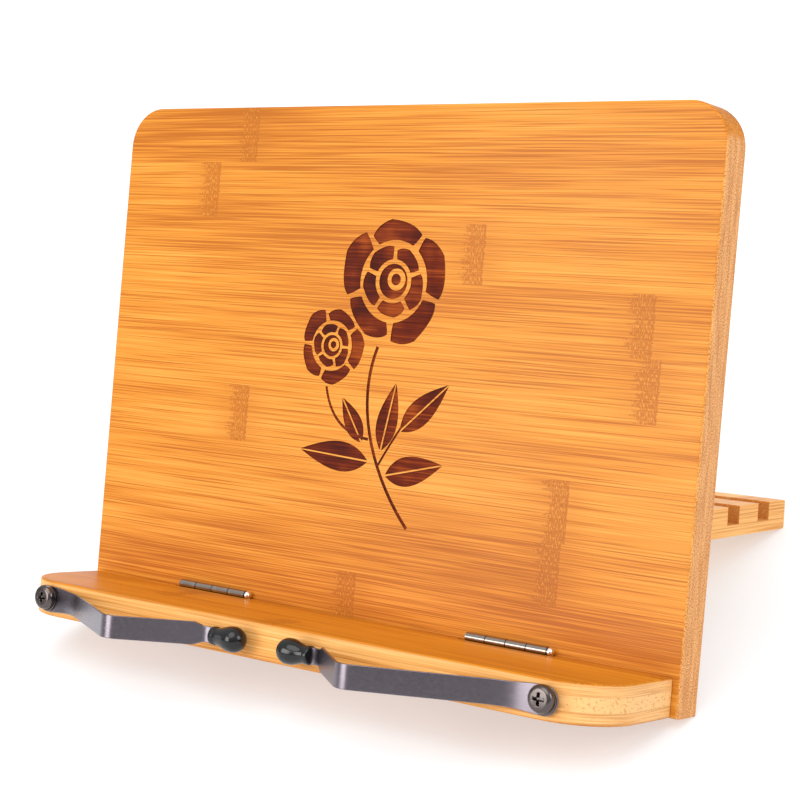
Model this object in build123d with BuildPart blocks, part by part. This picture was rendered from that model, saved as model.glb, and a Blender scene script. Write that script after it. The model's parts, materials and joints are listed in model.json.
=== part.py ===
"""Folding bamboo book display stand: face board, page ledge, notched leg, prop and page holders.

Millimetres, +Z up.  The stand is modelled open, leaning back on the table: the heel of the
face board and the rear corners of the leg touch z = 0.  The origin is under the middle of
the whole stand.  "Back" and "up" below are measured on the leaning face board.
"""
from build123d import *
import math
import os

os.makedirs("parts", exist_ok=True)

# ---------------------------------------------------------------- driving dimensions
# face board
board_width = 300.0
board_height = 225.0
board_thickness = 15.0
board_corner_radius = 17.0
edge_round = 1.2
engraving_depth = 0.35
engraving_middle = (-2.0, 117.0)
bloom_radius = 26.5
bud_radius = 16.5

# page ledge
ledge_depth = 50.0
ledge_thickness = 15.0
ledge_end_inset = 3.0
ledge_corner_radius = 25.0
board_gap = 0.5

# butt hinges, all of one pattern
hinge_length = 37.5
hinge_knuckles = 4
knuckle_gap = 0.35
barrel_radius = 1.9
pin_radius = 0.85
pin_clearance = 0.05
leaf_thickness = 1.0
leaf_width = 10.0
axis_standoff = barrel_radius + 0.2
axis_rise = axis_standoff * 0.57
leaf_clearance = 0.15
barrel_clearance = 0.4
hinge_screw_spacing = 22.0
ledge_hinge_offset = 76.0
leg_hinge_offset = 40.0
prop_hinge_offset = 58.0

# screws
hinge_screw_radius = 1.1
hinge_screw_head_radius = 1.95
hinge_screw_length = 8.0
cleat_screw_radius = 1.8
cleat_screw_head_radius = 3.5
cleat_screw_length = 22.0
cleat_screw_offset = 88.0
countersink_angle = 82.0
pilot_clearance = 0.05

# cleat on the back of the face board, which carries the leg
cleat_thickness = 12.0
cleat_height = 34.0
cleat_width = 203.0
cleat_rise = 2.0

# notched leg
leg_width = cleat_width
leg_hinge_height = 67.0
leg_length = 152.0
leg_thickness = 13.0
leg_tilt = 3.0
rail_width = 36.0
groove_count = 5
groove_depth = 8.0
groove_margin = 36.0
groove_pitch = (leg_length - groove_margin) / (groove_count - 1)
rear_land = 16.0
front_cross_rail_width = 36.0
rear_cross_rail_width = 40.0
dowel_radius = 2.5
dowel_length = 34.0
dowel_clearance = 0.05

# prop between the face board and the leg
prop_width = 180.0
prop_thickness = 10.0
groove_width = prop_thickness + 1.0
prop_hinge_height = 130.0
prop_groove = 3
nose_dip = 2.0
nose_clearance = 0.35
prop_wall_clearance = 0.3

# page holders
holder_offset = 125.0
strip_width = 9.2
strip_thickness = 1.0
eye_radius = 5.5
foot_run = 14.0
apex_run = 66.5
apex_reach = 33.0
neck_reach = 6.6
tip_centre_run = 110.9
foot_bend_radius = 34.0
apex_bend_radius = 6.5
neck_bend_radius = 7.0
flare_length = 16.0
neck_width = 6.4
tip_collar_radius = 3.7
tip_waist_radius = 3.3
tip_bulb_radius = 5.1
tip_length = 16.0
tip_grip = 9.0
tip_start = tip_centre_run + tip_bulb_radius - tip_length
neck_run = tip_start - 4.0
neck_step = neck_run - 3.5
holder_screw_radius = 2.0
holder_screw_length = 24.0
holder_screw_clearance = 0.08
holder_head_radius = 4.4
holder_head_height = 3.2
washer_radius = 5.2
washer_thickness = 0.8
holder_gap = 0.3

# ---------------------------------------------------------------- lean of the stand
leg_end = leg_length - axis_standoff + board_gap
leg_axis_back = board_thickness + cleat_thickness + axis_standoff
leg_bottom = -axis_rise - leg_thickness
leg_cos = math.cos(math.radians(leg_tilt))
leg_sin = math.sin(math.radians(leg_tilt))
corner_along = leg_end - edge_round
corner_rise = leg_bottom + edge_round
corner_back = leg_axis_back + corner_along * leg_cos - corner_rise * leg_sin
corner_up = leg_hinge_height + corner_along * leg_sin + corner_rise * leg_cos
heel_back = board_thickness - edge_round
heel_up = edge_round
lean = math.atan2(corner_up - heel_up, corner_back - heel_back)

origin_height = edge_round + heel_back * math.sin(lean) - heel_up * math.cos(lean)

# front-most point: lower edge of a page holder's apex; rear-most: rounded top corner of the leg
front_back = -(board_gap + ledge_depth + holder_gap + apex_reach - 0.4)
front_up = ledge_thickness / 2 - strip_width / 2
front_reach = front_back * math.cos(lean) + front_up * math.sin(lean)
top_corner_rise = -axis_rise - edge_round
top_corner_back = leg_axis_back + corner_along * leg_cos - top_corner_rise * leg_sin
top_corner_up = leg_hinge_height + corner_along * leg_sin + top_corner_rise * leg_cos
rear_reach = top_corner_back * math.cos(lean) + top_corner_up * math.sin(lean) + edge_round
origin_back = -(front_reach + rear_reach) / 2

board = Plane(
    origin=(0, origin_back, origin_height),
    x_dir=(1, 0, 0),
    z_dir=(0, math.sin(lean), math.cos(lean)),
)


def point(frame, x, y, z):
    """A point given in a frame's own directions, in the stand's coordinates."""
    return frame.from_local_coords(Vector(x, y, z))


def facing_front(frame, x=0.0, back=0.0, up=0.0):
    """Plane with its normal towards the reader: sketch x is right, sketch y is up."""
    return Plane(origin=point(frame, x, back, up), x_dir=frame.x_dir, z_dir=-frame.y_dir)


def facing_back(frame, x=0.0, back=0.0, up=0.0):
    """Plane with its normal away from the reader: sketch x is left, sketch y is up."""
    return Plane(origin=point(frame, x, back, up), x_dir=-frame.x_dir, z_dir=frame.y_dir)


def facing_up(frame, x=0.0, back=0.0, up=0.0):
    """Plane with its normal up: sketch x is right, sketch y is back."""
    return Plane(origin=point(frame, x, back, up), x_dir=frame.x_dir, z_dir=frame.z_dir)


def facing_side(frame, x=0.0, back=0.0, up=0.0):
    """Plane with its normal to the right: sketch x is back, sketch y is up."""
    return Plane(origin=point(frame, x, back, up), x_dir=frame.y_dir, z_dir=frame.x_dir)


def save(piece, name):
    """Label a finished piece and write it to its own file."""
    piece.label = name
    export_step(piece, f"parts/{name}.step")


# ---------------------------------------------------------------- moving frames
ledge_axis = Plane(
    origin=point(board, 0, -axis_standoff, ledge_thickness + axis_rise),
    x_dir=-board.x_dir,
    z_dir=-board.y_dir,
)
leg_axis = Plane(
    origin=point(board, 0, leg_axis_back, leg_hinge_height),
    x_dir=board.x_dir,
    z_dir=board.y_dir,
)
leg = Plane(
    origin=leg_axis.origin,
    x_dir=board.x_dir,
    z_dir=leg_cos * board.z_dir - leg_sin * board.y_dir,
)

# grooves of the leg, from the rear end towards the hinge, as distances from the leg's axis
grooves = [leg_end - rear_land - groove_width / 2 - i * groove_pitch for i in range(groove_count)]

# the prop's nose stands against the front wall of its groove, and its length follows from that
nose_radius = prop_thickness / 2
nose_half_chord = math.sqrt(nose_radius**2 - (nose_radius - nose_dip) ** 2)
nose_along = grooves[prop_groove] - groove_width / 2 + nose_clearance + nose_half_chord
nose_rise = -axis_rise - nose_dip + nose_radius
nose_back = leg_axis_back + nose_along * leg_cos - nose_rise * leg_sin
nose_up = leg_hinge_height + nose_along * leg_sin + nose_rise * leg_cos
prop_axis_back = board_thickness + axis_standoff
prop_face = (axis_standoff - leaf_thickness) - leaf_thickness
prop_middle = prop_face + prop_thickness / 2
nose_distance = math.hypot(nose_back - prop_axis_back, prop_hinge_height - nose_up)
prop_reach = math.sqrt(nose_distance**2 - prop_middle**2)
prop_angle = math.atan2(nose_back - prop_axis_back, prop_hinge_height - nose_up)
prop_angle += math.asin(prop_middle / nose_distance)
prop_opening = 180.0 - math.degrees(prop_angle)
leg_fold = 90.0 - leg_tilt
fold_ratio = prop_opening / leg_fold

prop_axis = Plane(
    origin=point(board, 0, prop_axis_back, prop_hinge_height),
    x_dir=-board.x_dir,
    z_dir=board.y_dir,
)


def swung(axis_plane, angle):
    """A hinge's frame turned open about its pin, which lies along x."""
    c = math.cos(math.radians(angle))
    s = math.sin(math.radians(angle))
    return Plane(
        origin=axis_plane.origin,
        x_dir=axis_plane.x_dir,
        z_dir=c * axis_plane.z_dir - s * axis_plane.y_dir,
    )


prop = swung(prop_axis, prop_opening)

# ---------------------------------------------------------------- hinges
knuckle_pitch = hinge_length / hinge_knuckles
hole_radius = pin_radius + pin_clearance
leaf_start = barrel_radius + barrel_clearance
fixed_leaf_low = -axis_standoff
moving_leaf_low = prop_face
leaf_middle = leaf_start + leaf_width / 2


def screw_seats(axis_plane, centre, level, outward):
    """Planes on a leaf's open face at its two screws, with the normal out of the face."""
    seats = []
    for side in (-1, 1):
        origin = point(axis_plane, centre + side * hinge_screw_spacing / 2, leaf_middle, level)
        seats.append(Plane(origin=origin, x_dir=axis_plane.x_dir, z_dir=outward * axis_plane.z_dir))
    return seats


def fixed_seats(axis_plane, centre):
    """Screw seats of the leaf on the fixed board."""
    return screw_seats(axis_plane, centre, fixed_leaf_low + leaf_thickness, 1)


def moving_seats(axis_plane, centre):
    """Screw seats of the leaf on the moving board, which faces the fixed one when shut."""
    return screw_seats(axis_plane, centre, moving_leaf_low, -1)


def hinge_leaf(axis_plane, centre, low, first_knuckle, seats):
    """A leaf with every other knuckle, its web to the plate and two countersunk holes."""
    with BuildPart() as leaf:
        middle = point(axis_plane, centre, leaf_middle, low)
        with BuildSketch(Plane(middle, x_dir=axis_plane.x_dir, z_dir=axis_plane.z_dir)):
            Rectangle(hinge_length, leaf_width)
        extrude(amount=leaf_thickness)
        for index in range(first_knuckle, hinge_knuckles, 2):
            start = centre - hinge_length / 2 + index * knuckle_pitch + knuckle_gap / 2
            knuckle_plane = Plane(
                origin=point(axis_plane, start, 0, 0),
                x_dir=axis_plane.y_dir,
                z_dir=axis_plane.x_dir,
            )
            with BuildSketch(knuckle_plane):
                Circle(barrel_radius)
                with Locations((leaf_start / 2 + 0.25, low + leaf_thickness / 2)):
                    Rectangle(leaf_start + 0.5, leaf_thickness)
                Circle(hole_radius, mode=Mode.SUBTRACT)
            extrude(amount=knuckle_pitch - knuckle_gap)
        with Locations(*seats):
            CounterSinkHole(
                radius=hinge_screw_radius + pilot_clearance,
                counter_sink_radius=hinge_screw_head_radius + pilot_clearance,
                depth=leaf_thickness,
                counter_sink_angle=countersink_angle,
            )
    return leaf.part


def hinge_pin(axis_plane, centre):
    """A pin through the barrel with a domed head at the reader's right."""
    head_side = 1 if axis_plane.x_dir.X > 0 else -1
    direction = head_side * axis_plane.x_dir
    start = point(axis_plane, centre - head_side * hinge_length / 2, 0, 0)
    with BuildPart() as pin:
        with BuildSketch(Plane(start, x_dir=axis_plane.y_dir, z_dir=direction)):
            Circle(pin_radius)
        extrude(amount=hinge_length + 0.2)
        with BuildSketch(Plane(start + direction * (hinge_length + 0.2), z_dir=direction)):
            Circle(barrel_radius)
        extrude(amount=2.2)
        rim = pin.edges().filter_by(GeomType.CIRCLE).sort_by(Axis(start, direction))[-1]
        fillet(rim, barrel_radius * 0.75)
    return pin.part


def countersunk_screw(head_radius, shank_radius, length):
    """A flat-headed cross-recess wood screw with its head's top at the origin."""
    cone = (head_radius - shank_radius) / math.tan(math.radians(countersink_angle / 2))
    with BuildPart() as screw:
        with BuildSketch(Plane.XZ):
            with BuildLine():
                Polyline(
                    (0, 0),
                    (head_radius, 0),
                    (shank_radius, -cone),
                    (shank_radius, shank_radius * 1.6 - length),
                    (0, -length),
                    close=True,
                )
            make_face()
        revolve(axis=Axis.Z)
        with BuildSketch(Plane.XY):
            Rectangle(head_radius * 1.25, head_radius * 0.24)
            Rectangle(head_radius * 0.24, head_radius * 1.25)
        extrude(amount=-head_radius * 0.22, mode=Mode.SUBTRACT)
    return screw.part


def screw_group(screw, seats):
    """The same screw in each seat, as separate solids of one node."""
    with BuildPart() as group:
        with Locations(*seats):
            add(screw)
    return group.part


hinge_screw = countersunk_screw(hinge_screw_head_radius, hinge_screw_radius, hinge_screw_length)
hinge_sites = {
    "ledge_hinge": (ledge_axis, ledge_axis, ledge_hinge_offset),
    "leg_hinge": (leg_axis, swung(leg_axis, leg_tilt), leg_hinge_offset),
    "prop_hinge": (prop_axis, prop, prop_hinge_offset),
}
fixed_screw_seats = {}
moving_screw_seats = {}
for hinge_name, (fixed_frame, moving_frame, offset) in hinge_sites.items():
    fixed_screw_seats[hinge_name] = []
    moving_screw_seats[hinge_name] = []
    for side_name, side in (("left", -1), ("right", 1)):
        centre = side * offset * (1 if fixed_frame.x_dir.X > 0 else -1)
        fixed = fixed_seats(fixed_frame, centre)
        moving = moving_seats(moving_frame, centre)
        fixed_leaf = hinge_leaf(fixed_frame, centre, fixed_leaf_low, 0, fixed)
        moving_leaf = hinge_leaf(moving_frame, centre, moving_leaf_low, 1, moving)
        save(fixed_leaf, f"{side_name}_{hinge_name}_fixed_leaf")
        save(moving_leaf, f"{side_name}_{hinge_name}_moving_leaf")
        save(hinge_pin(fixed_frame, centre), f"{side_name}_{hinge_name}_pin")
        fixed_screw_seats[hinge_name] += fixed
        moving_screw_seats[hinge_name] += moving
    save(screw_group(hinge_screw, fixed_screw_seats[hinge_name]), f"{hinge_name}_fixed_screws")
    save(screw_group(hinge_screw, moving_screw_seats[hinge_name]), f"{hinge_name}_moving_screws")

# depth that a hinge screw reaches into the wood behind its leaf
pilot_depth = hinge_screw_length + 0.3
pilot_radius = hinge_screw_radius + pilot_clearance


def leaf_pocket(frame, centre, outer, inner):
    """The pocket for the two shut leaves of a hinge, from level outer to level inner."""
    length = hinge_length + 2 * leaf_clearance
    depth = leaf_start + leaf_width + leaf_clearance
    with BuildPart() as pocket:
        with BuildSketch(Plane(point(frame, centre, depth / 2, outer), frame.x_dir, frame.z_dir)):
            Rectangle(length, depth)
        extrude(amount=inner - outer)
    return pocket.part


def barrel_groove(frame, centre):
    """The round recess in which a hinge's barrel and pin head turn."""
    length = hinge_length + 6.4
    start = point(frame, centre - length / 2, 0, 0)
    with BuildPart() as recess:
        with BuildSketch(Plane(start, x_dir=frame.y_dir, z_dir=frame.x_dir)):
            Circle(barrel_radius + barrel_clearance)
        extrude(amount=length)
    return recess.part


def shut_hinge_cuts(frame, offset):
    """Everything cut from a board's edge for its left and right hinge."""
    cuts = []
    for side in (-1, 1):
        pocket_floor = moving_leaf_low + leaf_thickness
        cuts.append(leaf_pocket(frame, side * offset, -axis_standoff, pocket_floor))
        cuts.append(barrel_groove(frame, side * offset))
    return cuts


# ---------------------------------------------------------------- flower engraving
def polar(centre, radius, angle):
    """A point at a radius and an angle in degrees about a centre."""
    a = math.radians(angle)
    return (centre[0] + radius * math.cos(a), centre[1] + radius * math.sin(a))


def petal(centre, inner, outer, angle, spread, twist):
    """A petal: a hollowed foot, swelling sides and a crest that leans to one side."""
    half = spread / 2
    foot_left = polar(centre, inner, angle - half * 0.9)
    foot_right = polar(centre, inner, angle + half * 0.9)
    side_left = polar(centre, outer * 0.9, angle - half)
    side_right = polar(centre, outer * 0.86, angle + half)
    crest = polar(centre, outer, angle + twist)
    middle = (inner + outer) / 2
    with BuildSketch() as shape:
        with BuildLine():
            Bezier(foot_left, polar(centre, inner * 1.12, angle), foot_right)
            Bezier(foot_right, polar(centre, middle * 0.95, angle + half), side_right)
            Bezier(side_right, polar(centre, outer * 0.99, angle + half * 0.7), crest)
            Bezier(crest, polar(centre, outer * 1.02, angle - half * 0.6), side_left)
            Bezier(side_left, polar(centre, middle * 0.95, angle - half), foot_left)
        make_face()
    return shape.sketch


def bloom(centre, radius, start):
    """Rings of petals round a small curled heart; thin bare lines part the petals."""
    rings = (
        (0.64, 1.00, 5, 67.0, 0.0),
        (0.34, 0.58, 5, 65.0, 36.0),
    )
    shapes = []
    for inner, outer, count, spread, offset in rings:
        for i in range(count):
            angle = start + offset + i * 360.0 / count
            lift = 1.0 + 0.05 * math.cos(math.radians(angle * 2 + 40))
            twist = 7.0 * (-1) ** i
            shapes.append(
                petal(centre, inner * radius, outer * lift * radius, angle, spread, twist)
            )
    with BuildSketch() as heart:
        with Locations(centre):
            Circle(radius * 0.27)
        with Locations((centre[0] + radius * 0.06, centre[1] + radius * 0.03)):
            Circle(radius * 0.17, mode=Mode.SUBTRACT)
        with Locations((centre[0] + radius * 0.05, centre[1] + radius * 0.03)):
            Circle(radius * 0.09)
    shapes.append(heart.sketch)
    return shapes


def leaf_halves(base, tip, fullness):
    """A pointed leaf in two halves, parted by a bare midrib."""
    axis = Vector(tip[0] - base[0], tip[1] - base[1])
    across = Vector(-axis.Y, axis.X).normalized()
    origin = Vector(*base)
    halves = []
    for side in (-1, 1):
        rib_start = origin + axis * 0.04 + across * side * 0.35
        rib_end = origin + axis * 0.9 + across * side * 0.3
        belly = origin + axis * 0.42 + across * side * fullness
        shoulder = origin + axis * 0.75 + across * side * fullness * 0.62
        end = origin + axis + across * side * 0.15
        with BuildSketch() as half:
            with BuildLine():
                Spline(rib_start, belly, shoulder, end)
                Line(end, rib_end)
                Line(rib_end, rib_start)
            make_face()
        halves.append(half.sketch)
    return halves


def stroke(points, width):
    """A stem drawn with a constant width along a smooth line."""
    with BuildSketch() as shape:
        with BuildLine():
            Spline(*points)
        trace(line_width=width)
    return shape.sketch


def flower_spray(middle):
    """Two open blooms on one stem with five leaves, laid out about the middle."""
    x, y = middle
    leaves = (
        ((x + 7.5, y - 34), (x + 13, y - 5), 5.2),
        ((x + 16, y - 25), (x + 39, y - 4), 5.4),
        ((x + 10, y - 43), (x + 39, y - 36), 6.0),
        ((x - 2, y - 31), (x - 14, y - 13), 4.4),
        ((x + 3, y - 38), (x - 34, y - 36), 6.2),
    )
    shapes = [
        stroke([(x + 2, y + 9), (x - 1, y - 14), (x + 6, y - 38), (x + 24, y - 63)], 1.5),
        stroke([(x - 23, y - 9), (x - 16, y - 22), (x + 1, y - 29)], 1.2),
        stroke([(x + 24, y - 13), (x + 15, y - 26), (x + 6.5, y - 40)], 1.0),
    ]
    shapes += bloom((x + 7, y + 36), bloom_radius, 90.0)
    shapes += bloom((x - 22, y + 8), bud_radius, 70.0)
    for base, tip, fullness in leaves:
        shapes += leaf_halves(base, tip, fullness)
    return shapes


# ---------------------------------------------------------------- face board
engraving = flower_spray(engraving_middle)
with BuildPart() as front_panel:
    with BuildSketch(facing_front(board)):
        with Locations((0, board_height / 2)):
            outline = Rectangle(board_width, board_height)
        fillet(outline.vertices().group_by(Axis.Y)[-1], board_corner_radius)
    extrude(amount=-board_thickness)
    rims = front_panel.faces().filter_by(Plane(board.origin, z_dir=board.y_dir))
    fillet(rims.edges(), edge_round)
    with BuildSketch(facing_front(board)):
        add(engraving)
    extrude(amount=-engraving_depth, mode=Mode.SUBTRACT)
    for hinge_name in ("ledge_hinge", "prop_hinge"):
        with Locations(*fixed_screw_seats[hinge_name]):
            Hole(pilot_radius, depth=pilot_depth)
    for side in (-1, 0, 1):
        screw_plane = facing_back(
            board,
            side * cleat_screw_offset,
            board_thickness,
            leg_hinge_height + cleat_rise - cleat_height / 2,
        )
        with Locations(screw_plane):
            Hole(
                cleat_screw_radius + pilot_clearance,
                depth=cleat_screw_length - cleat_thickness + 0.3,
            )
save(front_panel.part, "front_panel")

# ---------------------------------------------------------------- cleat
cleat_middle = leg_hinge_height + cleat_rise - cleat_height / 2
cleat_seats = [
    facing_back(board, side * cleat_screw_offset, board_thickness + cleat_thickness, cleat_middle)
    for side in (-1, 0, 1)
]
with BuildPart() as cleat:
    with BuildSketch(facing_back(board, 0, board_thickness, cleat_middle)):
        Rectangle(cleat_width, cleat_height)
    extrude(amount=cleat_thickness)
    back_face = cleat.faces().sort_by(Axis(board.origin, board.y_dir))[-1]
    fillet(back_face.edges(), edge_round)
    with Locations(*cleat_seats):
        CounterSinkHole(
            radius=cleat_screw_radius + pilot_clearance,
            counter_sink_radius=cleat_screw_head_radius + pilot_clearance,
            depth=cleat_thickness,
            counter_sink_angle=countersink_angle,
        )
    with Locations(*fixed_screw_seats["leg_hinge"]):
        Hole(pilot_radius, depth=pilot_depth)
save(cleat.part, "cleat")
cleat_screw = countersunk_screw(cleat_screw_head_radius, cleat_screw_radius, cleat_screw_length)
save(screw_group(cleat_screw, cleat_seats), "cleat_screws")

# ---------------------------------------------------------------- page ledge
ledge_width = board_width - 2 * ledge_end_inset
ledge_front = board_gap + ledge_depth
holder_seats = {
    side_name: facing_front(board, side * holder_offset, -ledge_front, ledge_thickness / 2)
    for side_name, side in (("left", -1), ("right", 1))
}
ledge_hinge_cuts = shut_hinge_cuts(ledge_axis, ledge_hinge_offset)
with BuildPart() as page_ledge:
    with BuildSketch(facing_up(board)):
        with Locations((0, -board_gap - ledge_depth / 2)):
            outline = Rectangle(ledge_width, ledge_depth)
        fillet(outline.vertices().group_by(Axis.Y)[0], ledge_corner_radius)
    extrude(amount=ledge_thickness)
    rims = page_ledge.faces().filter_by(Plane(board.origin, z_dir=board.z_dir))
    fillet(rims.edges(), edge_round)
    add(ledge_hinge_cuts, mode=Mode.SUBTRACT)
    with Locations(*moving_screw_seats["ledge_hinge"]):
        Hole(pilot_radius, depth=pilot_depth)
    with Locations(*holder_seats.values()):
        Hole(holder_screw_radius + pilot_clearance, depth=holder_screw_length)
save(page_ledge.part, "page_ledge")


# ---------------------------------------------------------------- notched leg
leg_start = leg_end - leg_length
rail_inside = leg_width / 2 - rail_width
rear_cross_start = leg_end - rear_cross_rail_width
front_cross_end = leg_start + front_cross_rail_width
dowel_places = [
    leg_end - rear_land / 2,
    (grooves[0] + grooves[1]) / 2,
    (grooves[-1] + grooves[-2]) / 2,
]
dowel_level = leg_bottom + (leg_thickness - groove_depth) / 2 + 2.0


def leg_bar(x_low, x_high, start, end):
    """A flat bar of the leg between two sides and two distances from the axis."""
    with BuildPart() as bar:
        with BuildSketch(facing_up(leg, (x_low + x_high) / 2, (start + end) / 2, leg_bottom)):
            Rectangle(x_high - x_low, end - start)
        extrude(amount=leg_thickness)
    return bar.part


def leg_groove(along):
    """The space of one groove across the leg, open at the top."""
    width = leg_width + 2
    with BuildPart() as groove:
        with BuildSketch(facing_side(leg, -width / 2, along, -axis_rise)):
            with Locations((0, -groove_depth / 2 + 0.5)):
                Rectangle(groove_width, groove_depth + 1.0)
        extrude(amount=width)
    return groove.part


def dowel_rod(side, along, radius, length):
    """A rod across the joint between a side rail and a cross rail."""
    start = point(leg, side * rail_inside - length / 2, along, dowel_level)
    with BuildPart() as rod:
        with BuildSketch(Plane(start, x_dir=leg.y_dir, z_dir=leg.x_dir)):
            Circle(radius)
        extrude(amount=length)
    return rod.part


groove_cuts = [leg_groove(along) for along in grooves]
dowel_sites = [(side, along) for side in (-1, 1) for along in dowel_places]
dowel_bores = [
    dowel_rod(side, along, dowel_radius + dowel_clearance, dowel_length + 1.0)
    for side, along in dowel_sites
]
bars = {
    "left_leg_rail": leg_bar(-leg_width / 2, -rail_inside, leg_start, leg_end),
    "right_leg_rail": leg_bar(rail_inside, leg_width / 2, leg_start, leg_end),
    "rear_cross_rail": leg_bar(-rail_inside, rail_inside, rear_cross_start, leg_end),
}
for bar_name, bar in bars.items():
    with BuildPart() as leg_piece:
        add(bar)
        cross_edges = leg_piece.edges().filter_by(Axis(leg.origin, leg.x_dir))
        fillet(cross_edges.sort_by(Axis(leg.origin, leg.y_dir))[-2:], edge_round)
        add(groove_cuts, mode=Mode.SUBTRACT)
        add(dowel_bores, mode=Mode.SUBTRACT)
    save(leg_piece.part, bar_name)

front_bar = leg_bar(-rail_inside, rail_inside, leg_start, front_cross_end)
leg_hinge_cuts = shut_hinge_cuts(hinge_sites["leg_hinge"][1], leg_hinge_offset)
with BuildPart() as front_cross_rail:
    add(front_bar)
    add(groove_cuts, mode=Mode.SUBTRACT)
    add(dowel_bores, mode=Mode.SUBTRACT)
    add(leg_hinge_cuts, mode=Mode.SUBTRACT)
    with Locations(*moving_screw_seats["leg_hinge"]):
        Hole(pilot_radius, depth=pilot_depth)
save(front_cross_rail.part, "front_cross_rail")

dowels = [dowel_rod(side, along, dowel_radius, dowel_length) for side, along in dowel_sites]
with BuildPart() as leg_dowels:
    add(dowels)
save(leg_dowels.part, "leg_dowels")

# ---------------------------------------------------------------- prop
prop_cos = math.cos(prop_angle)
prop_sin = math.sin(prop_angle)
prop_end = prop_reach
bevel_low = prop_wall_clearance - axis_standoff
bevel_start = (bevel_low + prop_face * prop_cos) / prop_sin
bevel_end = (bevel_low + (prop_face + prop_thickness) * prop_cos) / prop_sin
prop_pockets = [
    leaf_pocket(prop, side * prop_hinge_offset, prop_face - 0.5, prop_face + leaf_thickness)
    for side in (-1, 1)
]
with BuildPart() as prop_board:
    section = Plane(
        origin=point(prop, -prop_width / 2, 0, 0),
        x_dir=prop.y_dir,
        z_dir=prop.x_dir,
    )
    with BuildSketch(section):
        with BuildLine():
            face_low = prop_face
            face_high = prop_face + prop_thickness
            Line((leaf_start, face_low), (prop_end, face_low))
            ThreePointArc(
                (prop_end, face_low),
                (prop_end + nose_radius, prop_middle),
                (prop_end, face_high),
            )
            Line((prop_end, face_high), (bevel_end, face_high))
            knee = (leaf_start * prop_sin - bevel_low) / prop_cos
            Line((bevel_end, face_high), (leaf_start, knee))
            Line((leaf_start, knee), (leaf_start, face_low))
        make_face()
    extrude(amount=prop_width)
    add(prop_pockets, mode=Mode.SUBTRACT)
    with Locations(*moving_screw_seats["prop_hinge"]):
        Hole(pilot_radius, depth=pilot_depth)
save(prop_board.part, "prop_board")

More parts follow.
